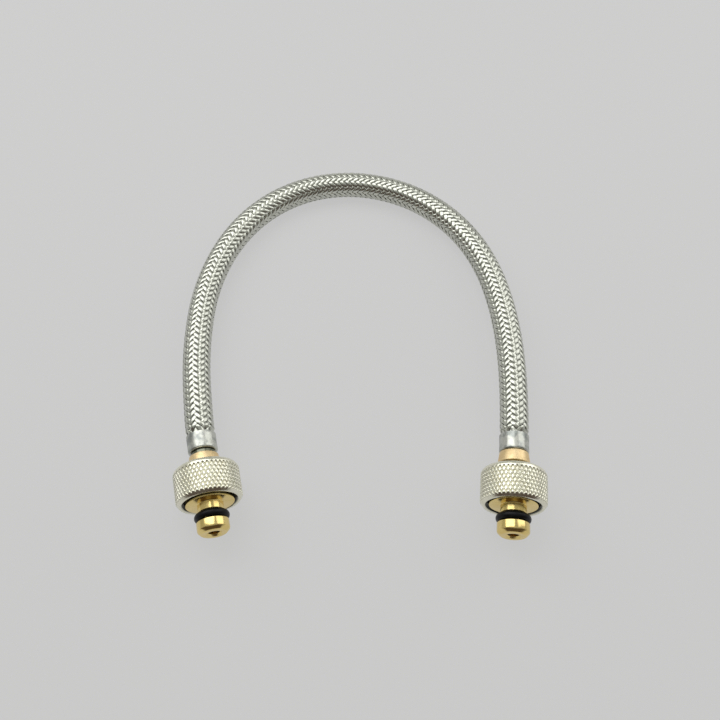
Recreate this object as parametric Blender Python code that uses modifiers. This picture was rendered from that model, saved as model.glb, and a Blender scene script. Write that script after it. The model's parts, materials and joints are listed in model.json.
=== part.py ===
"""Flexible connector hose: wire-braided, bent in a U, with a captive knurled union nut on each end.

Metres, +Z up. The hose lies on the ground as it comes to rest: on the far side of its bend and on
its two nuts, with both spigots towards -Y. The origin is on the ground, midway between the two end
fittings, which are what another product meets.

Each end fitting is built in a frame of its own, whose Z runs along the fitting's axis, out of the
hose. Z = 0 there is DATUM, where the right-hand nut's rim lies; stations behind it are negative.
"""

import math

import bmesh
import bpy
import numpy as np
from mathutils import Matrix, Vector

MM = 0.001
UP = Vector((0.0, 0.0, 1.0))

# Clearance between pieces that touch on the real part
GAP = 0.3 * MM

# Braided hose: radii where it runs free, and its reduction under a crimped ferrule
HOSE_RADIUS = 6.2 * MM
BRAID_WALL = 0.6 * MM
LINER_WALL = 0.8 * MM
CRIMP_REDUCTION = 0.8 * MM
CRIMP_FLARE_LENGTH = 2.6 * MM
HOSE_POINT_SPACING = 8.5 * MM
BRAID_RESOLUTION = 8
LINER_RESOLUTION = 5

# Spigot (nipple), turned in brass
SPIGOT_LENGTH = 12.2 * MM
SPIGOT_FACE_RADIUS = 4.85 * MM
SPIGOT_EDGE_RADIUS = 5.35 * MM
SPIGOT_EDGE_LENGTH = 0.2 * MM
NOSE_RADIUS = 6.55 * MM
NOSE_TAPER_LENGTH = 1.4 * MM
NOSE_LAND_LENGTH = 3.6 * MM
GROOVE_RADIUS = 3.4 * MM
GROOVE_LENGTH = 4.2 * MM
NECK_RADIUS = 5.3 * MM
FLANGE_FRONT = -0.3 * MM
FLANGE_RADIUS = 9.9 * MM
FLANGE_THICKNESS = 2.0 * MM
FLANGE_CHAMFER = 0.3 * MM
STEM_RADIUS = 5.1 * MM
BORE_RADIUS = 2.3 * MM
BORE_MOUTH_RADIUS = 3.2 * MM
BORE_MOUTH_DEPTH = 0.7 * MM
TAIL_BORE_RADIUS = 2.0 * MM
BARB_COUNT = 3
BARB_DEPTH = 0.4 * MM

# O-ring in the spigot's groove
O_RING_SECTION_RADIUS = 1.7 * MM

# Collar pressed on the stem behind the nut
COLLAR_LENGTH = 4.9 * MM
COLLAR_WALL = 0.65 * MM
COLLAR_FLARE = 0.7 * MM
COLLAR_CHAMFER = 0.2 * MM

# Ferrule crimped over the hose end
FERRULE_LENGTH = 7.7 * MM
FERRULE_WALL = 0.5 * MM
FERRULE_EDGE = 0.5 * MM
FERRULE_LIP_THICKNESS = 0.8 * MM

# Union nut, thread G 5/8 shown as a plain bore that passes over the flange
NUT_WALL = 2.9 * MM
NUT_LENGTH = 15.2 * MM
FLANGE_CLEARANCE = 0.7 * MM
NUT_MOUTH_CHAMFER = 0.9 * MM
NUT_FRONT_CHAMFER = 1.1 * MM
NUT_FRONT_CHAMFER_LENGTH = 1.4 * MM
NUT_REAR_ROUND = 2.4 * MM
NUT_REAR_ROUND_STEPS = 4
NUT_BACK_WALL = 3.0 * MM
NUT_TO_COLLAR = 2.8 * MM
KNURL_COLUMNS = 96
KNURL_ROW_HEIGHT = 1.65 * MM
KNURL_DEPTH = 0.55 * MM

# Where each end fitting lies in plan, how far it points inwards, how far its nut is slid back, and
# how far its collar sits forward, which together come to less than NUT_TO_COLLAR
LEFT_FITTING_X = -60.1 * MM
LEFT_FITTING_Y = -9.0 * MM
RIGHT_FITTING_X = 61.8 * MM
RIGHT_FITTING_Y = -9.8 * MM
LEFT_TOE_IN = math.radians(12.6)
RIGHT_TOE_IN = math.radians(5.9)
LEFT_NUT_SLIDE = 0.8 * MM
RIGHT_NUT_SLIDE = 0.0 * MM
LEFT_COLLAR_SHIFT = 1.6 * MM
RIGHT_COLLAR_SHIFT = 0.0 * MM

# Route of the hose in plan, from the left fitting round the bend to the right one
HOSE_ROUTE = [
    (-69.7 * MM, 37.0 * MM),
    (-72.0 * MM, 54.5 * MM),
    (-72.8 * MM, 72.5 * MM),
    (-71.9 * MM, 90.0 * MM),
    (-68.3 * MM, 107.5 * MM),
    (-61.7 * MM, 124.0 * MM),
    (-51.7 * MM, 138.7 * MM),
    (-38.3 * MM, 150.3 * MM),
    (-22.2 * MM, 157.6 * MM),
    (-4.7 * MM, 159.8 * MM),
    (12.9 * MM, 156.9 * MM),
    (29.1 * MM, 149.4 * MM),
    (42.7 * MM, 138.1 * MM),
    (53.2 * MM, 123.9 * MM),
    (60.4 * MM, 107.7 * MM),
    (64.7 * MM, 90.4 * MM),
    (66.8 * MM, 72.5 * MM),
    (67.2 * MM, 54.9 * MM),
    (66.4 * MM, 37.1 * MM),
]
ROUTE_STEPS = 24

TURNED_SEGMENTS = 24
O_RING_SEGMENTS = 24
O_RING_SECTION_SEGMENTS = 10
SCREW_MERGE_DISTANCE = 0.00001
SHARP_ANGLE = math.radians(32.0)

# Stations along a fitting's axis that several pieces share
COLLAR_FRONT = -NUT_LENGTH - NUT_TO_COLLAR
COLLAR_REAR = COLLAR_FRONT - COLLAR_LENGTH
FERRULE_FRONT = COLLAR_REAR - GAP
FERRULE_REAR = FERRULE_FRONT - FERRULE_LENGTH
HOSE_END = FERRULE_FRONT - FERRULE_LIP_THICKNESS - GAP
TAIL_END = FERRULE_REAR + GAP
HOSE_STRAIGHT_END = FERRULE_REAR - CRIMP_FLARE_LENGTH

# Radii that follow from the pieces inside one another
CRIMPED_RADIUS = HOSE_RADIUS - CRIMP_REDUCTION
LINER_RADIUS = HOSE_RADIUS - BRAID_WALL - GAP
TAIL_RADIUS = LINER_RADIUS - CRIMP_REDUCTION - LINER_WALL - GAP
FERRULE_BORE_RADIUS = CRIMPED_RADIUS + GAP
FERRULE_RADIUS = FERRULE_BORE_RADIUS + FERRULE_WALL
FERRULE_LIP_RADIUS = TAIL_RADIUS + GAP
COLLAR_BORE_RADIUS = STEM_RADIUS + GAP
NUT_BACK_BORE_RADIUS = STEM_RADIUS + GAP
NUT_BORE_RADIUS = FLANGE_RADIUS + FLANGE_CLEARANCE
NUT_MOUTH_RADIUS = NUT_BORE_RADIUS + NUT_MOUTH_CHAMFER
NUT_RADIUS = NUT_BORE_RADIUS + NUT_WALL
GROOVE_FRONT = SPIGOT_LENGTH - NOSE_TAPER_LENGTH - NOSE_LAND_LENGTH
GROOVE_REAR = GROOVE_FRONT - GROOVE_LENGTH
FLANGE_REAR = FLANGE_FRONT - FLANGE_THICKNESS
O_RING_MAJOR_RADIUS = GROOVE_RADIUS + GAP + O_RING_SECTION_RADIUS

# The hose's axis and both fittings lie in one plane. It rises from the bend, whose braid rests on
# the ground, to the left nut, whose rear knurl edge does.
BEND_Y = max(y for _, y in HOSE_ROUTE)
NUT_CONTACT_Y = LEFT_FITTING_Y + (NUT_LENGTH - NUT_REAR_ROUND + LEFT_NUT_SLIDE) * math.cos(LEFT_TOE_IN)
PLANE_SLOPE = (NUT_RADIUS - HOSE_RADIUS) / (BEND_Y - NUT_CONTACT_Y)


def clear_scene():
    for scene_object in list(bpy.data.objects):
        bpy.data.objects.remove(scene_object, do_unlink=True)


def make_collection(name):
    collection = bpy.data.collections.new(name)
    bpy.context.scene.collection.children.link(collection)
    return collection


def principled(name, color, roughness, metallic):
    material = bpy.data.materials.new(name)
    material.use_nodes = True
    shader = material.node_tree.nodes["Principled BSDF"]
    shader.inputs["Base Color"].default_value = (*color, 1.0)
    shader.inputs["Roughness"].default_value = roughness
    shader.inputs["Metallic"].default_value = metallic
    return material


def on_hose_plane(x, y):
    """The point of the hose's plane above this point of the ground."""
    return Vector((x, y, HOSE_RADIUS + (BEND_Y - y) * PLANE_SLOPE))


def fitting_frame(side, x, y, toe_in):
    """A frame on the fitting's axis at its datum, with Z out of the hose and Y upwards."""
    inwards = 1.0 if side == "left" else -1.0
    run_x = inwards * math.sin(toe_in)
    run_y = -math.cos(toe_in)
    forward = Vector((run_x, run_y, -run_y * PLANE_SLOPE)).normalized()
    upward = (UP - forward * UP.dot(forward)).normalized()
    sideways = upward.cross(forward)
    rotation = Matrix((sideways, upward, forward)).transposed().to_4x4()
    return Matrix.Translation(on_hose_plane(x, y)) @ rotation


def add_fitting_axis(collection, side, frame):
    """The empty that carries one end's pieces."""
    axis = bpy.data.objects.new(f"{side}_fitting_axis", None)
    axis.empty_display_size = NUT_RADIUS
    axis.matrix_world = frame
    collection.objects.link(axis)
    return axis


def smooth(mesh):
    mesh.shade_smooth()
    mesh.set_sharp_from_angle(angle=SHARP_ANGLE)


def turned_mesh(name, profile, segments=TURNED_SEGMENTS):
    """Turns a closed profile of (radius, station) round Z. It runs down the outside and up the bore."""
    points = [(radius, 0.0, station) for radius, station in profile]
    edges = [(index, (index + 1) % len(points)) for index in range(len(points))]
    outline = bpy.data.meshes.new(f"{name}_profile")
    outline.from_pydata(points, edges, [])
    guide = bpy.data.objects.new(f"{name}_profile", outline)
    bpy.context.scene.collection.objects.link(guide)
    screw = guide.modifiers.new("Turn", "SCREW")
    screw.axis = "Z"
    screw.angle = math.tau
    screw.steps = segments
    screw.render_steps = segments
    screw.use_merge_vertices = True
    screw.merge_threshold = SCREW_MERGE_DISTANCE
    graph = bpy.context.evaluated_depsgraph_get()
    mesh = bpy.data.meshes.new_from_object(guide.evaluated_get(graph))
    mesh.name = name
    bpy.data.objects.remove(guide, do_unlink=True)
    bpy.data.meshes.remove(outline)
    return mesh


def add_on_axis(collection, mesh, axis, material, station=0.0):
    """Carries a piece on a fitting's axis, with its own origin at this station."""
    smooth(mesh)
    mesh.materials.append(material)
    piece = bpy.data.objects.new(mesh.name, mesh)
    collection.objects.link(piece)
    piece.parent = axis
    piece.location = (0.0, 0.0, station)


def barb_profile():
    """The tail's outer side: each barb rises towards the spigot and drops to the next one's foot."""
    length = (FERRULE_FRONT - TAIL_END) / BARB_COUNT
    profile = []
    for barb in range(BARB_COUNT):
        front = FERRULE_FRONT - barb * length
        profile.append((TAIL_RADIUS, front))
        profile.append((TAIL_RADIUS - BARB_DEPTH, front - length))
    return profile


def spigot_profile():
    taper_rear = SPIGOT_LENGTH - NOSE_TAPER_LENGTH
    bore_step = COLLAR_REAR
    return [
        (SPIGOT_FACE_RADIUS, SPIGOT_LENGTH),
        (SPIGOT_EDGE_RADIUS, SPIGOT_LENGTH - SPIGOT_EDGE_LENGTH),
        (NOSE_RADIUS, taper_rear),
        (NOSE_RADIUS, GROOVE_FRONT),
        (GROOVE_RADIUS, GROOVE_FRONT),
        (GROOVE_RADIUS, GROOVE_REAR),
        (NECK_RADIUS, GROOVE_REAR),
        (NECK_RADIUS, FLANGE_FRONT),
        (FLANGE_RADIUS - FLANGE_CHAMFER, FLANGE_FRONT),
        (FLANGE_RADIUS, FLANGE_FRONT - FLANGE_CHAMFER),
        (FLANGE_RADIUS, FLANGE_REAR + FLANGE_CHAMFER),
        (FLANGE_RADIUS - FLANGE_CHAMFER, FLANGE_REAR),
        (STEM_RADIUS, FLANGE_REAR),
        (STEM_RADIUS, COLLAR_REAR),
        (TAIL_RADIUS, COLLAR_REAR),
        *barb_profile(),
        (TAIL_BORE_RADIUS, TAIL_END),
        (TAIL_BORE_RADIUS, bore_step),
        (BORE_RADIUS, bore_step),
        (BORE_RADIUS, SPIGOT_LENGTH - BORE_MOUTH_DEPTH),
        (BORE_MOUTH_RADIUS, SPIGOT_LENGTH),
    ]


def collar_profile():
    """The collar widens towards the nut."""
    rear = COLLAR_BORE_RADIUS + COLLAR_WALL
    front = rear + COLLAR_FLARE
    return [
        (front - COLLAR_CHAMFER, COLLAR_FRONT),
        (front, COLLAR_FRONT - COLLAR_CHAMFER),
        (rear, COLLAR_REAR + COLLAR_CHAMFER),
        (rear - COLLAR_CHAMFER, COLLAR_REAR),
        (COLLAR_BORE_RADIUS, COLLAR_REAR),
        (COLLAR_BORE_RADIUS, COLLAR_FRONT),
    ]


def ferrule_profile():
    lip_rear = FERRULE_FRONT - FERRULE_LIP_THICKNESS
    return [
        (FERRULE_LIP_RADIUS, FERRULE_FRONT),
        (FERRULE_RADIUS - FERRULE_EDGE, FERRULE_FRONT),
        (FERRULE_RADIUS, FERRULE_FRONT - FERRULE_EDGE),
        (FERRULE_RADIUS, FERRULE_REAR),
        (FERRULE_BORE_RADIUS, FERRULE_REAR),
        (FERRULE_BORE_RADIUS, lip_rear),
        (FERRULE_LIP_RADIUS, lip_rear),
    ]


def nut_rear_edge():
    """The nut's rounded edge, from its last knurl row to its rear face."""
    middle_radius = NUT_RADIUS - NUT_REAR_ROUND
    middle_station = NUT_REAR_ROUND - NUT_LENGTH
    edge = []
    for step in range(1, NUT_REAR_ROUND_STEPS + 1):
        turn = math.pi / 2 * step / NUT_REAR_ROUND_STEPS
        radius = middle_radius + NUT_REAR_ROUND * math.cos(turn)
        edge.append((radius, middle_station - NUT_REAR_ROUND * math.sin(turn)))
    return edge


def nut_profile(knurl_stations):
    """Counted from the nut's rim. The knurled side has a point at each row of the knurl."""
    wall_front = NUT_BACK_WALL - NUT_LENGTH
    return [
        (NUT_RADIUS - NUT_FRONT_CHAMFER, 0.0),
        *((NUT_RADIUS, station) for station in knurl_stations),
        *nut_rear_edge(),
        (NUT_BACK_BORE_RADIUS, -NUT_LENGTH),
        (NUT_BACK_BORE_RADIUS, wall_front),
        (NUT_BORE_RADIUS, wall_front),
        (NUT_BORE_RADIUS, -NUT_MOUTH_CHAMFER),
        (NUT_MOUTH_RADIUS, 0.0),
    ]


def knurl_rows():
    """Stations of the knurl's rows, which fill its length in whole steps."""
    length = NUT_LENGTH - NUT_FRONT_CHAMFER_LENGTH - NUT_REAR_ROUND
    intervals = max(2, round(length / KNURL_ROW_HEIGHT))
    return [-NUT_FRONT_CHAMFER_LENGTH - length * row / intervals for row in range(intervals + 1)]


def cut_knurl(mesh, rows):
    """Sinks every other point of the knurled side, so that diamonds stand between crossing grooves."""
    knurl = bmesh.new()
    knurl.from_mesh(mesh)
    row_height = rows[0] - rows[1]
    sunk = set()
    for vert in knurl.verts:
        radius = math.hypot(vert.co.x, vert.co.y)
        if abs(radius - NUT_RADIUS) > SCREW_MERGE_DISTANCE:
            continue
        column = round(math.atan2(vert.co.y, vert.co.x) / math.tau * KNURL_COLUMNS)
        row = round((rows[0] - vert.co.z) / row_height)
        if (column + row) % 2 != (len(rows) - 1) % 2:
            sunk.add(vert)
    for vert in sunk:
        scale = (NUT_RADIUS - KNURL_DEPTH) / NUT_RADIUS
        vert.co.x *= scale
        vert.co.y *= scale
    for face in list(knurl.faces):
        grooves = [vert for vert in face.verts if vert in sunk]
        if len(grooves) == 2 and len(face.verts) == 4:
            first, second = (list(face.verts).index(vert) for vert in grooves)
            if abs(first - second) == 2:
                bmesh.utils.face_split(face, grooves[0], grooves[1])
    knurl.to_mesh(mesh)
    knurl.free()


def union_nut_mesh(name):
    rows = knurl_rows()
    mesh = turned_mesh(name, nut_profile(rows), KNURL_COLUMNS)
    cut_knurl(mesh, rows)
    return mesh


def o_ring_mesh(name):
    bpy.ops.mesh.primitive_torus_add(
        major_radius=O_RING_MAJOR_RADIUS,
        minor_radius=O_RING_SECTION_RADIUS,
        major_segments=O_RING_SEGMENTS,
        minor_segments=O_RING_SECTION_SEGMENTS,
    )
    torus = bpy.context.object
    mesh = torus.data
    mesh.name = name
    bpy.data.objects.remove(torus, do_unlink=True)
    return mesh


def add_fitting(collection, side, frame, nut_slide, collar_shift, materials):
    """One end of the hose. The nut's origin is on the axis it spins about, at its rim."""
    axis = add_fitting_axis(collection, side, frame)
    nipple = turned_mesh(f"{side}_nipple", spigot_profile())
    add_on_axis(collection, nipple, axis, materials["brass"])
    collar = turned_mesh(f"{side}_collar", collar_profile())
    add_on_axis(collection, collar, axis, materials["collar"], collar_shift)
    ferrule = turned_mesh(f"{side}_ferrule", ferrule_profile())
    add_on_axis(collection, ferrule, axis, materials["ferrule"])
    groove_middle = (GROOVE_FRONT + GROOVE_REAR) / 2
    add_on_axis(collection, o_ring_mesh(f"{side}_o_ring"), axis, materials["o_ring"], groove_middle)
    add_on_axis(collection, union_nut_mesh(f"{side}_union_nut"), axis, materials["nickel"], -nut_slide)


def smooth_curve(points, steps):
    """A smooth curve through all the points, with this many straight steps between each two."""
    points = np.array([tuple(point) for point in points])
    spans = np.diff(points, axis=0)
    lengths = np.linalg.norm(spans, axis=1)[:, None]
    slopes = spans / lengths
    inner = (slopes[:-1] * lengths[1:] + slopes[1:] * lengths[:-1]) / (lengths[:-1] + lengths[1:])
    tangents = np.concatenate([slopes[:1], inner, slopes[-1:]])
    curve = []
    for start, end, leaving, arriving, length in zip(points, points[1:], tangents, tangents[1:], lengths):
        for t in np.arange(steps) / steps:
            bend_in = leaving * length * (t**3 - 2 * t**2 + t)
            bend_out = arriving * length * (t**3 - t**2)
            share = 3 * t**2 - 2 * t**3
            curve.append(start + (end - start) * share + bend_in + bend_out)
    curve.append(points[-1])
    return np.array(curve)


def hose_axis(left_frame, right_frame):
    """The hose's centre line as dense points, straight inside each fitting."""
    stations = (HOSE_END, FERRULE_REAR, HOSE_STRAIGHT_END)
    left_end = [left_frame @ Vector((0.0, 0.0, station)) for station in stations]
    right_end = [right_frame @ Vector((0.0, 0.0, station)) for station in reversed(stations)]
    route = [on_hose_plane(x, y) for x, y in HOSE_ROUTE]
    return smooth_curve([*left_end, *route, *right_end], ROUTE_STEPS)


def hose_stations(length):
    """Distances along the hose of the tube's points, closer together where each end flares."""
    crimped = HOSE_END - FERRULE_REAR + GAP
    flared = crimped + CRIMP_FLARE_LENGTH
    middle = (crimped + flared) / 2
    spans = max(2, round((length - 2 * flared) / HOSE_POINT_SPACING))
    free = np.linspace(flared, length - flared, spans + 1)
    return np.array([0.0, crimped, middle, *free, length - middle, length - crimped, length])


def free_share(distance, length):
    """0 where the hose is crimped in a ferrule, 1 where it runs free, and a smooth flare between."""
    crimped = HOSE_END - FERRULE_REAR + GAP
    from_end = min(distance, length - distance)
    share = min(1.0, max(0.0, (from_end - crimped) / CRIMP_FLARE_LENGTH))
    return share * share * (3 - 2 * share)


def add_hose_tube(collection, name, axis_points, radius, wall, resolution):
    """A hollow tube along the hose, with both ends reduced as the ferrules crimp them."""
    steps = np.linalg.norm(np.diff(axis_points, axis=0), axis=1)
    travelled = np.concatenate([[0.0], np.cumsum(steps)])
    length = travelled[-1]
    stations = hose_stations(length)
    curve = bpy.data.curves.new(name, "CURVE")
    curve.dimensions = "3D"
    curve.twist_mode = "Z_UP"
    curve.bevel_depth = radius
    curve.bevel_resolution = resolution
    spline = curve.splines.new("POLY")
    spline.points.add(len(stations) - 1)
    spline.use_smooth = True
    for point, station in zip(spline.points, stations):
        on_axis = [np.interp(station, travelled, axis_points[:, k]) for k in range(3)]
        point.co = (*on_axis, 1.0)
        point.radius = 1.0 - (1.0 - free_share(station, length)) * CRIMP_REDUCTION / radius
    tube = bpy.data.objects.new(name, curve)
    collection.objects.link(tube)
    shell = tube.modifiers.new("Wall", "SOLIDIFY")
    shell.thickness = wall
    shell.offset = -1.0
    shell.use_rim = True
    shell.use_even_offset = True
    return tube


def make_materials():
    return {
        "braid": principled("stainless_braid", (0.62, 0.64, 0.62), 0.3, 1.0),
        "liner": principled("rubber_liner", (0.03, 0.03, 0.03), 0.7, 0.0),
        "brass": principled("polished_brass", (0.83, 0.63, 0.3), 0.18, 1.0),
        "collar": principled("matt_brass", (0.85, 0.68, 0.45), 0.45, 1.0),
        "ferrule": principled("steel_ferrule", (0.68, 0.69, 0.68), 0.28, 1.0),
        "nickel": principled("nickel_plate", (0.78, 0.76, 0.66), 0.25, 1.0),
        "o_ring": principled("o_ring_rubber", (0.012, 0.014, 0.014), 0.35, 0.0),
    }


def main():
    clear_scene()
    collection = make_collection("flexible_connector_hose")
    materials = make_materials()
    left_frame = fitting_frame("left", LEFT_FITTING_X, LEFT_FITTING_Y, LEFT_TOE_IN)
    right_frame = fitting_frame("right", RIGHT_FITTING_X, RIGHT_FITTING_Y, RIGHT_TOE_IN)
    add_fitting(collection, "left", left_frame, LEFT_NUT_SLIDE, LEFT_COLLAR_SHIFT, materials)
    add_fitting(collection, "right", right_frame, RIGHT_NUT_SLIDE, RIGHT_COLLAR_SHIFT, materials)
    axis_points = hose_axis(left_frame, right_frame)
    braid = add_hose_tube(collection, "wire_braid", axis_points, HOSE_RADIUS, BRAID_WALL, BRAID_RESOLUTION)
    braid.data.materials.append(materials["braid"])
    liner = add_hose_tube(collection, "rubber_liner", axis_points, LINER_RADIUS, LINER_WALL, LINER_RESOLUTION)
    liner.data.materials.append(materials["liner"])


main()
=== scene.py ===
"""Looks of the flexible connector hose: woven wire braid, turned brass, knurled nickel, rubber.

Every length is in metres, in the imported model's frame. Each end fitting has a frame of its own, read
from its nut's joint: Z runs along the fitting's axis, out of the hose, and stations count from the
datum where the right-hand nut's rim lies.
"""

import json
import math

import bpy
import numpy as np
from mathutils import Matrix, Vector


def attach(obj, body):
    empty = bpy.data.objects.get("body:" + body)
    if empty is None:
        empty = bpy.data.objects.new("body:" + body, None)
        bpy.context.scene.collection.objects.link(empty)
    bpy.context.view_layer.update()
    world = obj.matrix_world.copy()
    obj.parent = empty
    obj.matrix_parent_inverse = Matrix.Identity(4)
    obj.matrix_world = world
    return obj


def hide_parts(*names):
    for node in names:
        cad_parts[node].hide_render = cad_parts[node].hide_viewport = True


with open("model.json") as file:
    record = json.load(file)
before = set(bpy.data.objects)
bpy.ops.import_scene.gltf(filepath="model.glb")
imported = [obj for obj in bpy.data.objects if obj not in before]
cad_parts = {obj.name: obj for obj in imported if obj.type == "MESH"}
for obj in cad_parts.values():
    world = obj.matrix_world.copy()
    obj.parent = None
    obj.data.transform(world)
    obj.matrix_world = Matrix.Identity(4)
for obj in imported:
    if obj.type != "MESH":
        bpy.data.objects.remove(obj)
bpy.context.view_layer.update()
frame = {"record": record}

MM = 0.001
UP = Vector((0.0, 0.0, 1.0))

# Camera: how steeply it looks down, from how far and at what
CAMERA_ELEVATION = math.radians(63.1)
CAMERA_DISTANCE = 355.0 * MM
CAMERA_AIM = Vector((0.1 * MM, 58.0 * MM, 10.9 * MM))
CAMERA_LENS = 40.0
CAMERA_SENSOR = 36.0
CAMERA_NEAREST = 0.01
CAMERA_FARTHEST = 20.0

# Hose: its sizes, and its route between the two straight ends, as seen from above
HOSE_END = -24.3 * MM
FERRULE_REAR = -30.9 * MM
CRIMP_REDUCTION = 0.8 * MM
CRIMP_MARGIN = 0.3 * MM
CRIMP_FLARE_LENGTH = 2.6 * MM
HOSE_STRAIGHT_END = FERRULE_REAR - CRIMP_FLARE_LENGTH
LINER_OUTER_RADIUS = 5.2 * MM
LINER_WALL = 0.8 * MM
LINER_RINGS = 160
LINER_SIDES = 32
ROUTE_STEPS = 24
DIRECTION_REACH = 0.5 * MM
HOSE_ROUTE = [
    (-0.0697, 0.0370),
    (-0.0720, 0.0545),
    (-0.0728, 0.0725),
    (-0.0719, 0.0900),
    (-0.0683, 0.1075),
    (-0.0617, 0.1240),
    (-0.0517, 0.1387),
    (-0.0383, 0.1503),
    (-0.0222, 0.1576),
    (-0.0047, 0.1598),
    (0.0129, 0.1569),
    (0.0291, 0.1494),
    (0.0427, 0.1381),
    (0.0532, 0.1239),
    (0.0604, 0.1077),
    (0.0647, 0.0904),
    (0.0668, 0.0725),
    (0.0672, 0.0549),
    (0.0664, 0.0371),
]

# Braid: strands wound both ways, each a crowned ribbon of wires, two over and two under
STRANDS_EACH_WAY = 12
WIRES_PER_STRAND = 5
STRAND_WIDTH = 1.94 * MM
STRAND_CROWN = 0.2 * MM
WIRE_HEIGHT = 0.05 * MM
WIRE_VALLEY_HEIGHT = 0.2 * WIRE_HEIGHT
BRAID_PITCH = 34.0 * MM
BRAID_MIDDLE_RADIUS = 5.57 * MM
WEAVE_DEPTH = 0.28 * MM
WEAVE_FLATNESS = 0.8
WEAVE_PHASE = -math.pi / 4
STRAND_STEPS = 720

# Each end fitting: how far its nut is slid back, and how far its collar sits forward
FITTING_BODIES = {"left": "left_nut", "right": "right_nut"}
NUT_SLIDE = {"left": 0.8 * MM, "right": 0.0}
COLLAR_SHIFT = {"left": 1.6 * MM, "right": 0.0}

# All turned pieces
TURNED_SEGMENTS = 128
SHARP_ANGLE = math.radians(38.0)
FILLET_STEPS = 4
FILLET_LARGEST_SHARE = 0.45

# Nipple, from its nose back to its barbed tail, and where painted shade darkens its stem
NOSE_TIP = 12.2 * MM
NOSE_FACE_RADIUS = 4.85 * MM
NOSE_TAPER_FRONT = 12.0 * MM
NOSE_TAPER_RADIUS = 5.35 * MM
NOSE_TAPER_REAR = 10.8 * MM
NOSE_RADIUS = 6.55 * MM
NOSE_REAR = 7.2 * MM
SEAL_GROOVE_RADIUS = 3.4 * MM
NECK_FRONT = 3.0 * MM
NECK_RADIUS = 5.3 * MM
FLANGE_FRONT = -0.3 * MM
FLANGE_REAR = -2.3 * MM
FLANGE_RADIUS = 9.9 * MM
STEM_RADIUS = 5.1 * MM
STEM_REAR = -22.9 * MM
BARB_CREST_RADIUS = 3.3 * MM
BARB_FOOT_RADIUS = 2.9 * MM
FIRST_BARB_CREST = -25.7 * MM
FIRST_BARB_FOOT = -28.1 * MM
SECOND_BARB_CREST = -28.15 * MM
TAIL_END = -30.6 * MM
TAIL_BORE_RADIUS = 2.0 * MM
BORE_RADIUS = 2.3 * MM
BORE_REAR = -22.6 * MM
BORE_FRONT = 11.5 * MM
BORE_MOUTH_RADIUS = 3.2 * MM
# Painted shade on the stem begins here, fading in over this length
STEM_SHADE_FRONT = -20.2 * MM
STEM_SHADE_FADE = 0.8 * MM

# O-ring
SEAL_RADIUS = 5.4 * MM
SEAL_STATION = 5.1 * MM
SEAL_SECTION_RADIUS = 1.7 * MM
SEAL_SECTION_SIDES = 40

# Collar
COLLAR_FRONT = -18.0 * MM
COLLAR_REAR = -22.9 * MM
COLLAR_FRONT_RADIUS = 6.75 * MM
COLLAR_REAR_RADIUS = 6.05 * MM
COLLAR_BORE_RADIUS = 5.4 * MM

# Ferrule, with its slight waist and the flats that the crimping jaws leave outside one radius
FERRULE_FRONT = -23.2 * MM
FERRULE_RADIUS = 6.2 * MM
FERRULE_MOUTH_RADIUS = 3.6 * MM
FERRULE_BORE_FRONT = -24.0 * MM
FERRULE_BORE_RADIUS = 5.7 * MM
WAIST_FRONT = -25.0 * MM
WAIST_MIDDLE = -27.1 * MM
WAIST_REAR = -29.2 * MM
WAIST_RADIUS = 6.16 * MM
JAWS = 8
JAW_MIDDLE = -27.0 * MM
JAW_REACH = 2.2 * MM
JAW_DEPTH = 0.09 * MM
JAW_LEAST_RADIUS = 5.9 * MM

# Union nut
NUT_SEGMENTS = 480
NUT_RADIUS = 13.48 * MM
NUT_LENGTH = 15.2 * MM
NUT_FRONT_CHAMFER = 1.1 * MM
NUT_FRONT_CHAMFER_LENGTH = 1.4 * MM
NUT_REAR_ROUND = 2.4 * MM
NUT_KNURL_END = NUT_LENGTH - NUT_REAR_ROUND
NUT_RIM_RADIUS = 12.4 * MM
NUT_RIM_EDGE_WIDTH = 0.07 * MM
NUT_RIM_EDGE_DEPTH = 0.05 * MM
NUT_MOUTH_RADIUS = 11.5 * MM
NUT_MOUTH_SLOPE = 1.0
NUT_BACK_RADIUS = 11.1 * MM
NUT_HOLE_RADIUS = 5.4 * MM
NUT_HOLE_EDGE = 0.1 * MM
NUT_WALL_FRONT = -12.2 * MM
NUT_RELIEF_RADIUS = 11.5 * MM
NUT_RELIEF_FRONT = -10.6 * MM

# The nut's knurl, its thread, and the painted shade down its bore and in the knurl's grooves
KNURL_COUNT = 48
KNURL_ROWS_LENGTH = 3.257 * MM
KNURL_RINGS_PER_ROW = 20
KNURL_DEPTH = 0.48 * MM
KNURL_SLOPE_SHARE = 0.37
KNURL_FADE = 0.4 * MM
NUT_SIDE_FRONT = -0.2 * MM
NUT_SIDE_REAR = -NUT_LENGTH + 0.1 * MM
THREAD_PITCH = 1.814 * MM
THREAD_RINGS_PER_TURN = 10
THREAD_FRONT = -0.2 * MM
THREAD_REAR = -10.5 * MM
THREAD_MINOR_RADIUS = 10.29 * MM
THREAD_MAJOR_RADIUS = 11.46 * MM
THREAD_STEEPNESS = 1.25
THREAD_ROOT_WIDTH = 0.12
SHADED_BORE_RADIUS = 11.54 * MM
SHADED_KNURL_RADIUS = 12.0 * MM
SHADE_FADE = 0.5 * MM
GROOVE_SHADE = 0.38

# Materials: Blender's noise mostly lies in this range, and its colour mix has these sockets
NOISE_RANGE = (0.3, 0.7)
MIX_FIRST_COLOR = 6
MIX_SECOND_COLOR = 7
MIX_RESULT_COLOR = 2

# Studio: the dark part of the room fades in between two limits of the direction's Y and Z
GROUND_HALF_SIZE = 3.0
GROUND_TONE = (0.63, 0.63, 0.63)
GROUND_GLOW = 0.8
PAPER_TONE = (0.59, 0.59, 0.59)
ROOM_TONE = (0.42, 0.42, 0.4)
ROOM_FRONT_TONE = (0.085, 0.062, 0.05)
DARK_FRONT_LIMITS = (-0.1, -0.45)
DARK_LOW_LIMITS = (0.84, 0.68)
SOFTBOX_AIM = Vector((0.0, 0.02, 0.01))
SOFTBOX_DISTANCE = 0.6


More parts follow.
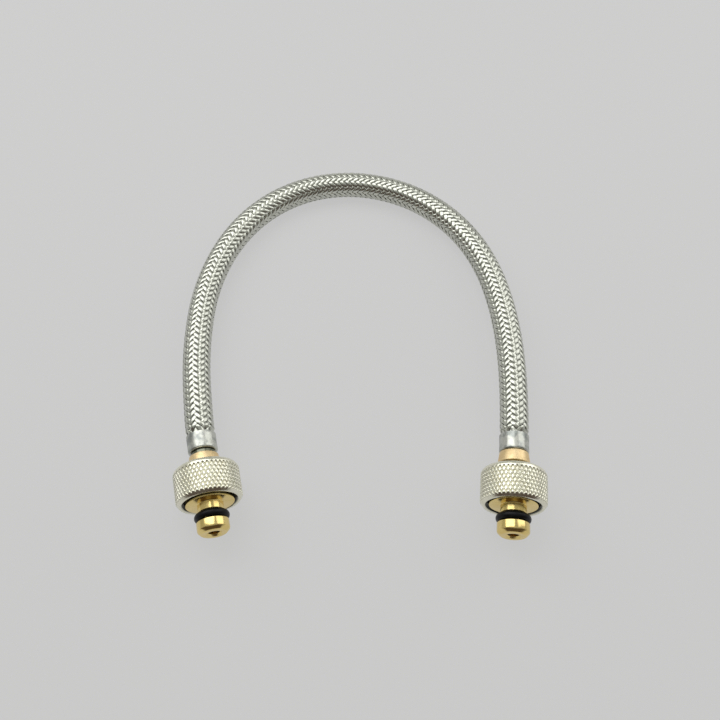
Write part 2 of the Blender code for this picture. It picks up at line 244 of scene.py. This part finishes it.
def nut_joint(side):
    """The record's joint that this side's nut spins on."""
    for joint in frame["record"]["behaviour"]["joints"]:
        if joint["child"] == FITTING_BODIES[side]:
            return joint
    raise SystemExit(f"no joint for the {side} nut")


def fitting_frame(side):
    """Z out of the hose along the nut's axis, Y upwards, at the fitting's datum."""
    joint = nut_joint(side)
    forward = Vector(joint["axis"]).normalized()
    upward = (UP - forward * UP.dot(forward)).normalized()
    sideways = upward.cross(forward)
    rotation = Matrix((sideways, upward, forward)).transposed().to_4x4()
    datum = Vector(joint["pos_m"]) + forward * NUT_SLIDE[side]
    return Matrix.Translation(datum) @ rotation


FRAMES = {side: fitting_frame(side) for side in ("left", "right")}


def make_camera():
    camera = bpy.data.objects.new("camera", bpy.data.cameras.new("camera"))
    camera.data.lens = CAMERA_LENS
    camera.data.sensor_width = CAMERA_SENSOR
    camera.data.clip_start = CAMERA_NEAREST
    camera.data.clip_end = CAMERA_FARTHEST
    back = Vector((0.0, -math.cos(CAMERA_ELEVATION), math.sin(CAMERA_ELEVATION)))
    camera.location = CAMERA_AIM + back * CAMERA_DISTANCE
    camera.rotation_euler = back.to_track_quat("Z", "Y").to_euler()
    bpy.context.scene.collection.objects.link(camera)
    bpy.context.scene.camera = camera


def mesh_piece(name, points, faces):
    mesh = bpy.data.meshes.new(name)
    mesh.from_pydata([tuple(point) for point in points], [], faces)
    mesh.update()
    mesh.shade_smooth()
    piece = bpy.data.objects.new(name, mesh)
    bpy.context.scene.collection.objects.link(piece)
    return piece


# The hose's line


def hose_plane():
    """A point of the plane that holds the hose's line and both fittings, and how steeply that plane
    falls towards the bend."""
    left, right = (FRAMES[side].translation for side in ("left", "right"))
    slope = FRAMES["right"].col[2].z / -FRAMES["right"].col[2].y
    return (left + right) / 2, slope


PLANE_POINT, PLANE_SLOPE = hose_plane()
PLANE_NORMAL = Vector((0.0, PLANE_SLOPE, 1.0)).normalized()


def on_hose_plane(x, y):
    return Vector((x, y, PLANE_POINT.z - (y - PLANE_POINT.y) * PLANE_SLOPE))


def smooth_curve(points, steps):
    """A smooth curve through all the points, with this many straight steps between each two."""
    points = np.array([tuple(point) for point in points])
    spans = np.diff(points, axis=0)
    lengths = np.linalg.norm(spans, axis=1)[:, None]
    slopes = spans / lengths
    inner = (slopes[:-1] * lengths[1:] + slopes[1:] * lengths[:-1]) / (lengths[:-1] + lengths[1:])
    tangents = np.concatenate([slopes[:1], inner, slopes[-1:]])
    curve = []
    for start, end, leaving, arriving, length in zip(points, points[1:], tangents, tangents[1:], lengths):
        for t in np.arange(steps) / steps:
            bend_in = leaving * length * (t**3 - 2 * t**2 + t)
            bend_out = arriving * length * (t**3 - t**2)
            share = 3 * t**2 - 2 * t**3
            curve.append(start + (end - start) * share + bend_in + bend_out)
    curve.append(points[-1])
    return np.array(curve)


class HoseLine:
    """The hose's centre line by distance from its left end, with the frame round it."""

    def __init__(self):
        stations = (HOSE_END, FERRULE_REAR, HOSE_STRAIGHT_END)
        left_end = [FRAMES["left"] @ Vector((0.0, 0.0, station)) for station in stations]
        right_end = [FRAMES["right"] @ Vector((0.0, 0.0, station)) for station in reversed(stations)]
        route = [on_hose_plane(x, y) for x, y in HOSE_ROUTE]
        self.points = smooth_curve([*left_end, *route, *right_end], ROUTE_STEPS)
        steps = np.linalg.norm(np.diff(self.points, axis=0), axis=1)
        self.travelled = np.concatenate([[0.0], np.cumsum(steps)])
        self.length = float(self.travelled[-1])

    def middle(self, distances):
        """Points of the centre line at these distances, which lie between its ends."""
        coordinates = [np.interp(distances, self.travelled, self.points[:, k]) for k in range(3)]
        return np.stack(coordinates, -1)

    def at(self, distances):
        """Points, and the sideways and upward directions across the hose, at these distances."""
        clamped = np.clip(distances, 0.0, self.length)
        ahead = self.middle(np.clip(clamped + DIRECTION_REACH, 0.0, self.length))
        behind = self.middle(np.clip(clamped - DIRECTION_REACH, 0.0, self.length))
        along = ahead - behind
        along /= np.linalg.norm(along, axis=-1, keepdims=True)
        upward = np.broadcast_to(np.array(PLANE_NORMAL), along.shape)
        sideways = np.cross(upward, along)
        sideways /= np.linalg.norm(sideways, axis=-1, keepdims=True)
        place = self.middle(clamped) + along * (distances - clamped)[..., None]
        return place, sideways, upward

    def crimp(self, distances):
        """How much the hose is narrowed at these distances."""
        crimped_length = HOSE_END - FERRULE_REAR + CRIMP_MARGIN
        from_end = np.minimum(distances, self.length - distances)
        share = np.clip((from_end - crimped_length) / CRIMP_FLARE_LENGTH, 0.0, 1.0)
        return CRIMP_REDUCTION * (1.0 - share * share * (3 - 2 * share))

    def wrap(self, distances, angles, radii):
        """Points round the hose."""
        place, sideways, upward = self.at(distances)
        radii = (radii - self.crimp(distances))[..., None]
        around = np.cos(angles)[..., None] * sideways + np.sin(angles)[..., None] * upward
        return place + around * radii


LINE = HoseLine()


def ribbon_section():
    """A strand's section as (across, height): a low crown with a ridge for each wire."""
    share = np.linspace(-1.0, 1.0, 2 * WIRES_PER_STRAND + 1)
    ridges = np.where(np.arange(len(share)) % 2 == 1, WIRE_HEIGHT, WIRE_VALLEY_HEIGHT)
    ridges[0] = 0.0
    ridges[-1] = 0.0
    return share * STRAND_WIDTH / 2, ridges + STRAND_CROWN * (1.0 - share**2)


def make_strands(name, way):
    """All the strands wound one way (+1 or -1), each passing over two and under two of the others."""
    across, height = ribbon_section()
    section = len(across)
    distances = np.linspace(0.0, LINE.length, STRAND_STEPS)
    angle_per_metre = way * math.tau / BRAID_PITCH
    lead = math.atan(math.tau * BRAID_MIDDLE_RADIUS / BRAID_PITCH)
    points = []
    faces = []
    for strand in range(STRANDS_EACH_WAY):
        angles = strand * math.tau / STRANDS_EACH_WAY + angle_per_metre * distances
        wave = way * np.cos(STRANDS_EACH_WAY / 2 * angles + WEAVE_PHASE)
        weave = np.tanh(WEAVE_FLATNESS * wave) / math.tanh(WEAVE_FLATNESS)
        base = BRAID_MIDDLE_RADIUS + WEAVE_DEPTH * weave
        shift_along = -way * across * math.sin(lead)
        shift_round = across * math.cos(lead) / BRAID_MIDDLE_RADIUS
        start = len(points)
        grid = LINE.wrap(
            distances[:, None] + shift_along[None, :],
            angles[:, None] + shift_round[None, :],
            base[:, None] + height[None, :],
        )
        points.extend(grid.reshape(-1, 3))
        for step in range(STRAND_STEPS - 1):
            row = start + step * section
            for side in range(section):
                beside = (side + 1) % section
                faces.append((row + side, row + beside, row + section + beside, row + section + side))
        last = start + (STRAND_STEPS - 1) * section
        faces.append(tuple(range(start + section - 1, start - 1, -1)))
        faces.append(tuple(range(last, last + section)))
    return mesh_piece(name, points, faces)


def make_liner():
    """The rubber hose under the braid: open at both ends."""
    rings, sides = LINER_RINGS, LINER_SIDES
    distances = np.linspace(0.0, LINE.length, rings)
    angles = np.arange(sides) * math.tau / sides
    distances, angles = np.meshgrid(distances, angles, indexing="ij")
    outer = LINE.wrap(distances, angles, LINER_OUTER_RADIUS)
    inner = LINE.wrap(distances, angles, LINER_OUTER_RADIUS - LINER_WALL)
    points = np.concatenate([outer.reshape(-1, 3), inner.reshape(-1, 3)])
    count = rings * sides
    faces = []
    for ring in range(rings - 1):
        for side in range(sides):
            beside = (side + 1) % sides
            a, b = ring * sides + side, ring * sides + beside
            faces.append((a, b, b + sides, a + sides))
            faces.append((count + b, count + a, count + a + sides, count + b + sides))
    last = (rings - 1) * sides
    for side in range(sides):
        beside = (side + 1) % sides
        faces.append((beside, side, count + side, count + beside))
        faces.append((last + side, last + beside, count + last + beside, count + last + side))
    return mesh_piece("liner_hose", points, faces)


# Turned pieces


def filleted(corners):
    """An outline of (radius, station) from corners of (radius, station, fillet)."""
    outline = []
    count = len(corners)
    for index, (radius, station, fillet) in enumerate(corners):
        here = np.array([radius, station])
        if fillet <= 0:
            outline.append(here)
            continue
        before = np.array(corners[index - 1][:2]) - here
        after = np.array(corners[(index + 1) % count][:2]) - here
        reach_before, reach_after = np.linalg.norm(before), np.linalg.norm(after)
        before, after = before / reach_before, after / reach_after
        half = math.acos(np.clip(before @ after, -1, 1)) / 2
        longest = FILLET_LARGEST_SHARE * min(reach_before, reach_after)
        cut = min(fillet / math.tan(half), longest)
        size = cut * math.tan(half)
        centre = here + (before + after) / np.linalg.norm(before + after) * size / math.sin(half)
        first = here + before * cut - centre
        last = here + after * cut - centre
        turn = math.atan2(first[0] * last[1] - first[1] * last[0], first @ last)
        for step in range(FILLET_STEPS + 1):
            angle = turn * step / FILLET_STEPS
            rotated = (
                first[0] * math.cos(angle) - first[1] * math.sin(angle),
                first[0] * math.sin(angle) + first[1] * math.cos(angle),
            )
            outline.append(centre + np.array(rotated))
    return np.array(outline)


def turned_piece(name, side, outline, segments=TURNED_SEGMENTS, shape=None, mark=None):
    """Turns a closed outline round the fitting's axis. shape may change the radii by angle, and mark
    gives each point a share of painted shade, between 0 and 1, that its material reads."""
    angles = np.arange(segments) * math.tau / segments
    radii = np.repeat(outline[:, :1], segments, axis=1)
    stations = np.repeat(outline[:, 1:], segments, axis=1)
    if shape:
        radii = shape(radii, stations, angles)
    local = np.stack([radii * np.cos(angles), radii * np.sin(angles), stations], -1).reshape(-1, 3)
    placing = np.array(FRAMES[side])
    points = local @ placing[:3, :3].T + placing[:3, 3]
    rings = len(outline)
    ring, column = np.meshgrid(np.arange(rings), np.arange(segments), indexing="ij")
    below, beside = (ring + 1) % rings, (column + 1) % segments
    corners = [ring * segments + column, below * segments + column]
    corners += [below * segments + beside, ring * segments + beside]
    faces = np.stack(corners, -1).reshape(-1, 4).tolist()
    piece = mesh_piece(name, points, faces)
    piece.data.set_sharp_from_angle(angle=SHARP_ANGLE)
    if mark:
        marks = piece.data.attributes.new("mark", "FLOAT", "POINT")
        marks.data.foreach_set("value", mark(radii, stations).reshape(-1).astype(np.float32))
    return piece


def nipple_outline():
    """The spigot, its flange, the stem through the nut, and the barbed tail in the hose."""
    return filleted([
        (BORE_MOUTH_RADIUS, NOSE_TIP, 0.1 * MM),
        (NOSE_FACE_RADIUS, NOSE_TIP, 0.2 * MM),
        (NOSE_TAPER_RADIUS, NOSE_TAPER_FRONT, 0.7 * MM),
        (NOSE_RADIUS, NOSE_TAPER_REAR, 1.2 * MM),
        (NOSE_RADIUS, NOSE_REAR, 0.15 * MM),
        (SEAL_GROOVE_RADIUS, NOSE_REAR, 0.1 * MM),
        (SEAL_GROOVE_RADIUS, NECK_FRONT, 0.1 * MM),
        (NECK_RADIUS, NECK_FRONT, 0.15 * MM),
        (NECK_RADIUS, FLANGE_FRONT, 0.3 * MM),
        (FLANGE_RADIUS, FLANGE_FRONT, 0.25 * MM),
        (FLANGE_RADIUS, FLANGE_REAR, 0.2 * MM),
        (STEM_RADIUS, FLANGE_REAR, 0.15 * MM),
        (STEM_RADIUS, STEM_REAR, 0.1 * MM),
        (BARB_CREST_RADIUS, STEM_REAR, 0.0),
        (BARB_CREST_RADIUS, FIRST_BARB_CREST, 0.0),
        (BARB_FOOT_RADIUS, FIRST_BARB_FOOT, 0.0),
        (BARB_CREST_RADIUS, SECOND_BARB_CREST, 0.0),
        (BARB_FOOT_RADIUS, TAIL_END, 0.0),
        (TAIL_BORE_RADIUS, TAIL_END, 0.0),
        (TAIL_BORE_RADIUS, STEM_REAR, 0.0),
        (BORE_RADIUS, BORE_REAR, 0.0),
        (BORE_RADIUS, BORE_FRONT, 0.1 * MM),
    ])


def painted_stem_shade(radii, stations):
    """1 on the nipple's stem beside the ferrule, where painted shade darkens it in the gap between the
    parts.
    """
    return np.clip((STEM_SHADE_FRONT - stations) / STEM_SHADE_FADE, 0.0, 1.0)


def o_ring_outline():
    turns = -np.arange(SEAL_SECTION_SIDES) * math.tau / SEAL_SECTION_SIDES
    radii = SEAL_RADIUS + SEAL_SECTION_RADIUS * np.cos(turns)
    stations = SEAL_STATION + SEAL_SECTION_RADIUS * np.sin(turns)
    return np.stack([radii, stations], -1)


def collar_outline(shift):
    """The collar widens towards the nut."""
    outline = filleted([
        (COLLAR_FRONT_RADIUS, COLLAR_FRONT, 0.2 * MM),
        (COLLAR_REAR_RADIUS, COLLAR_REAR, 0.15 * MM),
        (COLLAR_BORE_RADIUS, COLLAR_REAR, 0.05 * MM),
        (COLLAR_BORE_RADIUS, COLLAR_FRONT, 0.05 * MM),
    ])
    outline[:, 1] += shift
    return outline


def ferrule_outline():
    """A cup with a rounded front edge, open at the rear, where the hose goes in."""
    return filleted([
        (FERRULE_MOUTH_RADIUS, FERRULE_FRONT, 0.05 * MM),
        (FERRULE_RADIUS, FERRULE_FRONT, 0.85 * MM),
        (FERRULE_RADIUS, WAIST_FRONT, 0.0),
        (WAIST_RADIUS, WAIST_MIDDLE, 0.0),
        (FERRULE_RADIUS, WAIST_REAR, 0.0),
        (FERRULE_RADIUS, FERRULE_REAR, 0.12 * MM),
        (FERRULE_BORE_RADIUS, FERRULE_REAR, 0.1 * MM),
        (FERRULE_BORE_RADIUS, FERRULE_BORE_FRONT, 0.1 * MM),
        (FERRULE_MOUTH_RADIUS, FERRULE_BORE_FRONT, 0.05 * MM),
    ])


def crimped(radii, stations, angles):
    """The jaws leave shallow flats round the ferrule's middle."""
    outer = radii > JAW_LEAST_RADIUS
    middle = np.exp(-(((stations - JAW_MIDDLE) / JAW_REACH) ** 4))
    flat = np.abs(np.cos(JAWS / 2 * angles)) ** 6
    return radii - outer * middle * JAW_DEPTH * flat


def nut_outline(slide):
    """Rings down the knurled side, across the back, up the threaded bore and out of the mouth."""
    rim = [
        (NUT_MOUTH_RADIUS, -NUT_RIM_EDGE_DEPTH),
        (NUT_MOUTH_RADIUS + NUT_RIM_EDGE_WIDTH, 0.0),
        (NUT_RIM_RADIUS - NUT_RIM_EDGE_WIDTH, 0.0),
        (NUT_RIM_RADIUS, -NUT_RIM_EDGE_DEPTH),
    ]
    ring_step = KNURL_ROWS_LENGTH / KNURL_RINGS_PER_ROW
    side_stations = np.arange(NUT_SIDE_FRONT, NUT_SIDE_REAR, -ring_step)
    side = [(NUT_RADIUS, station) for station in side_stations]
    back = [
        (NUT_BACK_RADIUS, -NUT_LENGTH),
        (NUT_HOLE_RADIUS + NUT_HOLE_EDGE, -NUT_LENGTH),
        (NUT_HOLE_RADIUS, -NUT_LENGTH + NUT_HOLE_EDGE),
    ]
    inside = [
        (NUT_HOLE_RADIUS, NUT_WALL_FRONT - NUT_HOLE_EDGE),
        (NUT_HOLE_RADIUS + NUT_HOLE_EDGE, NUT_WALL_FRONT),
        (NUT_RELIEF_RADIUS - 2 * NUT_HOLE_EDGE, NUT_WALL_FRONT),
        (NUT_RELIEF_RADIUS, NUT_WALL_FRONT + NUT_HOLE_EDGE),
        (NUT_RELIEF_RADIUS, NUT_RELIEF_FRONT),
    ]
    thread_stations = np.arange(THREAD_REAR, THREAD_FRONT, THREAD_PITCH / THREAD_RINGS_PER_TURN)
    thread = [(THREAD_MINOR_RADIUS, station) for station in thread_stations]
    outline = np.array([*rim, *side, *back, *inside, *thread])
    outline[:, 1] -= slide
    return outline


def triangle_wave(turns):
    """1 at each whole turn, and 0 halfway between them."""
    return np.abs(turns % 1.0 - 0.5) * 2


def knurled_side(down, angles):
    """The nut's outer radius: diamonds between crossing grooves, a chamfer in front and a round edge
    at the rear. down is the distance from the nut's rim."""
    across = angles * KNURL_COUNT / math.tau
    along = (down - NUT_FRONT_CHAMFER_LENGTH) / KNURL_ROWS_LENGTH
    groove = np.maximum(triangle_wave(across + along), triangle_wave(across - along))
    diamond = np.minimum(1.0, (1.0 - groove) / KNURL_SLOPE_SHARE)
    fade = np.clip((NUT_KNURL_END + KNURL_FADE / 2 - down) / KNURL_FADE, 0.0, 1.0)
    knurl = NUT_RADIUS - KNURL_DEPTH * (1.0 - diamond) * fade
    front_slope = NUT_FRONT_CHAMFER / NUT_FRONT_CHAMFER_LENGTH
    front_cone = NUT_RADIUS - NUT_FRONT_CHAMFER + down * front_slope
    past_knurl = np.clip(down - NUT_KNURL_END, 0.0, NUT_REAR_ROUND)
    rear_edge = NUT_RADIUS - NUT_REAR_ROUND + np.sqrt(NUT_REAR_ROUND**2 - past_knurl**2)
    return np.minimum(knurl, np.minimum(front_cone, rear_edge))


def threaded_bore(down, angles):
    """The nut's inner radius: a thread that ends in a cone at the mouth."""
    ridge = 1 - triangle_wave(down / THREAD_PITCH + angles / math.tau)
    tooth = np.clip(THREAD_STEEPNESS * ridge - THREAD_ROOT_WIDTH, 0.0, 1.0)
    thread = THREAD_MAJOR_RADIUS - (THREAD_MAJOR_RADIUS - THREAD_MINOR_RADIUS) * tooth
    mouth_cone = NUT_MOUTH_RADIUS - down * NUT_MOUTH_SLOPE
    return np.maximum(thread, mouth_cone)


def nut_shape(slide):
    """Cuts the knurl into a nut's side and the thread into its bore."""

    def shape(radii, stations, angles):
        down = -(stations + slide)
        knurled = np.isclose(radii, NUT_RADIUS)
        threaded = np.isclose(radii, THREAD_MINOR_RADIUS)
        inner = np.where(threaded, threaded_bore(down, angles), radii)
        return np.where(knurled, knurled_side(down, angles), inner)

    return shape


def painted_nut_shade(slide):
    """Painted shade on a nut: 1 down its bore, and less in the knurl's grooves."""

    def mark(radii, stations):
        down = -(stations + slide)
        inside = np.clip(np.minimum(down, NUT_LENGTH - down) / SHADE_FADE, 0.0, 1.0)
        bore = (radii < SHADED_BORE_RADIUS) * inside
        knurled = (down > NUT_FRONT_CHAMFER_LENGTH) & (down < NUT_KNURL_END)
        side = knurled & (radii > SHADED_KNURL_RADIUS)
        return np.maximum(bore, side * GROOVE_SHADE * (NUT_RADIUS - radii) / KNURL_DEPTH)

    return mark


# Materials


def map_range(tree, value, source, target=(0.0, 1.0)):
    """The value, taken from the source's limits to the target's."""
    node = tree.nodes.new("ShaderNodeMapRange")
    node.inputs["From Min"].default_value = source[0]
    node.inputs["From Max"].default_value = source[1]
    node.inputs["To Min"].default_value = target[0]
    node.inputs["To Max"].default_value = target[1]
    tree.links.new(value, node.inputs["Value"])
    return node.outputs["Result"]


def combined(tree, operation, first, second):
    """Two values put together. The second may be a plain number."""
    node = tree.nodes.new("ShaderNodeMath")
    node.operation = operation
    tree.links.new(first, node.inputs[0])
    if isinstance(second, float):
        node.inputs[1].default_value = second
    else:
        tree.links.new(second, node.inputs[1])
    return node.outputs[0]


def blended(tree, share, first, second):
    """A shader that goes from first to second as share rises."""
    node = tree.nodes.new("ShaderNodeMixShader")
    tree.links.new(share, node.inputs["Fac"])
    tree.links.new(first, node.inputs[1])
    tree.links.new(second, node.inputs[2])
    return node.outputs["Shader"]


class Nodes:
    """A material's node tree, with short calls for the nodes that these finishes share."""

    def __init__(self, name):
        self.material = bpy.data.materials.new(name)
        self.material.use_nodes = True
        self.tree = self.material.node_tree
        self.shader = self.tree.nodes["Principled BSDF"]

    def set(self, **values):
        """Gives the shader's inputs plain values."""
        for name, value in values.items():
            self.shader.inputs[name.replace("_", " ")].default_value = value

    def feed(self, **sockets):
        """Links other nodes' outputs to the shader's inputs."""
        for name, socket in sockets.items():
            self.tree.links.new(socket, self.shader.inputs[name.replace("_", " ")])

    def noise(self, scale, detail=4.0):
        place = self.tree.nodes.new("ShaderNodeTexCoord")
        node = self.tree.nodes.new("ShaderNodeTexNoise")
        node.inputs["Scale"].default_value = scale
        node.inputs["Detail"].default_value = detail
        self.tree.links.new(place.outputs["Object"], node.inputs["Vector"])
        return node.outputs["Fac"]

    def spread(self, noise, low, high):
        """A value that wanders between low and high."""
        return map_range(self.tree, noise, NOISE_RANGE, (low, high))

    def tones(self, noise, low, high, limits=NOISE_RANGE):
        """A colour that wanders between low and high."""
        node = self.tree.nodes.new("ShaderNodeValToRGB")
        for element, place, color in zip(node.color_ramp.elements, limits, (low, high)):
            element.position = place
            element.color = (*color, 1.0)
        self.tree.links.new(noise, node.inputs["Fac"])
        return node.outputs["Color"]

    def marked(self, color, painted_shade_color):
        """The colour, with the painted shade's colour where the piece is marked."""
        mark = self.tree.nodes.new("ShaderNodeAttribute")
        mark.attribute_name = "mark"
        node = self.tree.nodes.new("ShaderNodeMix")
        node.data_type = "RGBA"
        self.tree.links.new(mark.outputs["Fac"], node.inputs["Factor"])
        self.tree.links.new(color, node.inputs[MIX_FIRST_COLOR])
        node.inputs[MIX_SECOND_COLOR].default_value = (*painted_shade_color, 1.0)
        return node.outputs[MIX_RESULT_COLOR]

    def bump(self, height, distance, strength):
        node = self.tree.nodes.new("ShaderNodeBump")
        node.inputs["Distance"].default_value = distance
        node.inputs["Strength"].default_value = strength
        self.tree.links.new(height, node.inputs["Height"])
        self.feed(Normal=node.outputs["Normal"])


def braid_material():
    nodes = Nodes("braid_wire")
    nodes.set(Metallic=0.92)
    stain = nodes.noise(420.0, detail=3.0)
    nodes.feed(
        Base_Color=nodes.tones(stain, low=(0.52, 0.535, 0.475), high=(0.66, 0.67, 0.6)),
        Roughness=nodes.spread(nodes.noise(900.0), low=0.16, high=0.28),
    )
    nodes.bump(nodes.noise(2600.0, detail=2.0), distance=0.02 * MM, strength=0.3)
    return nodes.material


def liner_material():
    nodes = Nodes("liner_rubber")
    nodes.feed(
        Base_Color=nodes.tones(nodes.noise(600.0), low=(0.012, 0.012, 0.012), high=(0.03, 0.03, 0.03)),
        Roughness=nodes.spread(nodes.noise(800.0), low=0.55, high=0.8),
    )
    nodes.bump(nodes.noise(1800.0), distance=0.03 * MM, strength=0.5)
    return nodes.material


def metal_material(
    name, low, high, roughness, bump_scale, bump_height, painted_shade_color=None, limits=NOISE_RANGE
):
    """Metal whose colour and gloss wander a little, with fine marks from making it and painted shade."""
    nodes = Nodes(name)
    nodes.set(Metallic=1.0)
    color = nodes.tones(nodes.noise(260.0, detail=5.0), low, high, limits)
    if painted_shade_color:
        color = nodes.marked(color, painted_shade_color)
    nodes.feed(Base_Color=color, Roughness=nodes.spread(nodes.noise(700.0), *roughness))
    nodes.bump(nodes.noise(bump_scale, detail=3.0), bump_height, strength=0.5)
    return nodes.material


def brass_material():
    return metal_material(
        "turned_brass",
        low=(0.8, 0.61, 0.22),
        high=(0.88, 0.7, 0.3),
        roughness=(0.14, 0.24),
        bump_scale=1500.0,
        bump_height=0.01 * MM,
        # painted shade on the stem beside the ferrule
        painted_shade_color=(0.16, 0.17, 0.13),
    )


def collar_material():
    return metal_material(
        "collar_brass",
        low=(0.8, 0.61, 0.33),
        high=(0.88, 0.7, 0.42),
        roughness=(0.4, 0.55),
        bump_scale=2200.0,
        bump_height=0.03 * MM,
    )


def ferrule_material():
    return metal_material(
        "ferrule_steel",
        low=(0.33, 0.35, 0.33),
        high=(0.59, 0.6, 0.55),
        roughness=(0.28, 0.42),
        bump_scale=320.0,
        bump_height=0.12 * MM,
        limits=(0.4, 0.56),
    )


def nickel_material():
    return metal_material(
        "nickel_plate",
        low=(0.8, 0.78, 0.63),
        high=(0.9, 0.89, 0.75),
        roughness=(0.2, 0.32),
        bump_scale=1200.0,
        bump_height=0.01 * MM,
        # painted shade down the nut's bore and in its knurl's grooves
        painted_shade_color=(0.03, 0.03, 0.026),
    )


def o_ring_material():
    nodes = Nodes("seal_rubber")
    nodes.set(Specular_IOR_Level=0.2)
    nodes.feed(
        Base_Color=nodes.tones(nodes.noise(500.0), low=(0.003, 0.004, 0.004), high=(0.009, 0.01, 0.01)),
        Roughness=nodes.spread(nodes.noise(900.0), low=0.3, high=0.45),
    )
    nodes.bump(nodes.noise(2400.0), distance=0.01 * MM, strength=0.3)
    return nodes.material


def dress(piece, material, body, replaced):
    """Gives a piece its material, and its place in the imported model."""
    piece.data.materials.append(material)
    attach(piece, body)
    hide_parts(replaced)


# The scene round the object


def make_ground():
    """A pale sheet that keeps the object's shadow faint, as seen and in the metal's reflections."""
    half = GROUND_HALF_SIZE
    corners = [(-half, -half, 0.0), (half, -half, 0.0), (half, half, 0.0), (-half, half, 0.0)]
    mesh = bpy.data.meshes.new("ground")
    mesh.from_pydata(corners, [], [(0, 1, 2, 3)])
    ground = bpy.data.objects.new("ground", mesh)
    bpy.context.scene.collection.objects.link(ground)
    nodes = Nodes("ground_paper")
    nodes.set(Base_Color=(*GROUND_TONE, 1.0), Roughness=0.9)
    tree = nodes.tree
    rays = tree.nodes.new("ShaderNodeLightPath")
    seen = combined(tree, "MAXIMUM", rays.outputs["Is Camera Ray"], rays.outputs["Is Glossy Ray"])
    share = combined(tree, "MULTIPLY", seen, GROUND_GLOW)
    glow = tree.nodes.new("ShaderNodeEmission")
    glow.inputs["Color"].default_value = (*GROUND_TONE, 1.0)
    surface = blended(tree, share, nodes.shader.outputs["BSDF"], glow.outputs["Emission"])
    tree.links.new(surface, tree.nodes["Material Output"].inputs["Surface"])
    mesh.materials.append(nodes.material)


def make_softbox(name, swing, lift, width, height, radiance):
    """A softbox above the object. swing turns it round the line from front to back, from straight
    above, and lift raises it off that line's far end."""
    round_line = Matrix.Rotation(swing, 3, "Y")
    outward = round_line @ Vector((0.0, math.cos(lift), math.sin(lift)))
    across = round_line @ Vector((1.0, 0.0, 0.0))
    lamp = bpy.data.lights.new(name, "AREA")
    lamp.shape = "RECTANGLE"
    lamp.size = width
    lamp.size_y = height
    lamp.energy = radiance * math.pi * width * height
    light = bpy.data.objects.new(name, lamp)
    facing = Matrix((across, outward.cross(across), outward)).transposed().to_4x4()
    light.matrix_world = Matrix.Translation(SOFTBOX_AIM + outward * SOFTBOX_DISTANCE) @ facing
    bpy.context.scene.collection.objects.link(light)


def make_world():
    """A pale room, dark low down in front where the camera stands. The camera sees plain paper."""
    world = bpy.data.worlds.new("studio")
    bpy.context.scene.world = world
    world.use_nodes = True
    tree = world.node_tree
    direction = tree.nodes.new("ShaderNodeTexCoord").outputs["Generated"]
    split = tree.nodes.new("ShaderNodeSeparateXYZ")
    tree.links.new(direction, split.inputs["Vector"])
    front = map_range(tree, split.outputs["Y"], DARK_FRONT_LIMITS)
    low = map_range(tree, split.outputs["Z"], DARK_LOW_LIMITS)
    tones = tree.nodes.new("ShaderNodeValToRGB")
    tones.color_ramp.elements[0].color = (*ROOM_TONE, 1.0)
    tones.color_ramp.elements[1].color = (*ROOM_FRONT_TONE, 1.0)
    tree.links.new(combined(tree, "MULTIPLY", front, low), tones.inputs["Fac"])
    room = tree.nodes["Background"]
    tree.links.new(tones.outputs["Color"], room.inputs["Color"])
    paper = tree.nodes.new("ShaderNodeBackground")
    paper.inputs["Color"].default_value = (*PAPER_TONE, 1.0)
    rays = tree.nodes.new("ShaderNodeLightPath")
    surface = blended(
        tree, rays.outputs["Is Camera Ray"], room.outputs["Background"], paper.outputs["Background"]
    )
    tree.links.new(surface, tree.nodes["World Output"].inputs["Surface"])


def make_softboxes():
    make_softbox(
        "left_softbox",
        swing=math.radians(-26.0),
        lift=math.radians(60.0),
        width=0.7,
        height=0.46,
        radiance=1.8,
    )
    make_softbox(
        "right_softbox",
        swing=math.radians(55.0),
        lift=math.radians(60.0),
        width=0.56,
        height=0.44,
        radiance=1.15,
    )


# The whole scene


def build_hose():
    """The braid and the liner under it."""
    braid = braid_material()
    strands = [make_strands("braid_strands_right", 1), make_strands("braid_strands_left", -1)]
    dress(strands[0], braid, "root", "wire_braid")
    dress(strands[1], braid, "root", "wire_braid")
    liner = make_liner()
    dress(liner, liner_material(), "root", "rubber_liner")


def build_fitting(side, brass, collar_metal, ferrule_metal, nickel, rubber):
    """The five pieces on one end of the hose."""
    slide = NUT_SLIDE[side]
    nipple = turned_piece(f"{side}_turned_nipple", side, nipple_outline(), mark=painted_stem_shade)
    dress(nipple, brass, "root", f"{side}_nipple")
    collar = turned_piece(f"{side}_stop_collar", side, collar_outline(COLLAR_SHIFT[side]))
    dress(collar, collar_metal, "root", f"{side}_collar")
    ferrule = turned_piece(f"{side}_crimped_ferrule", side, ferrule_outline(), shape=crimped)
    dress(ferrule, ferrule_metal, "root", f"{side}_ferrule")
    ring = turned_piece(f"{side}_seal_ring", side, o_ring_outline())
    dress(ring, rubber, "root", f"{side}_o_ring")
    nut = turned_piece(
        f"{side}_knurled_nut", side, nut_outline(slide), NUT_SEGMENTS, nut_shape(slide), painted_nut_shade(slide)
    )
    dress(nut, nickel, FITTING_BODIES[side], f"{side}_union_nut")


def main():
    make_camera()
    build_hose()
    brass = brass_material()
    collar_metal = collar_material()
    ferrule_metal = ferrule_material()
    nickel = nickel_material()
    rubber = o_ring_material()
    for side in ("left", "right"):
        build_fitting(side, brass, collar_metal, ferrule_metal, nickel, rubber)
    make_ground()
    make_softboxes()
    make_world()
    bpy.context.scene.view_settings.view_transform = "Standard"


main()
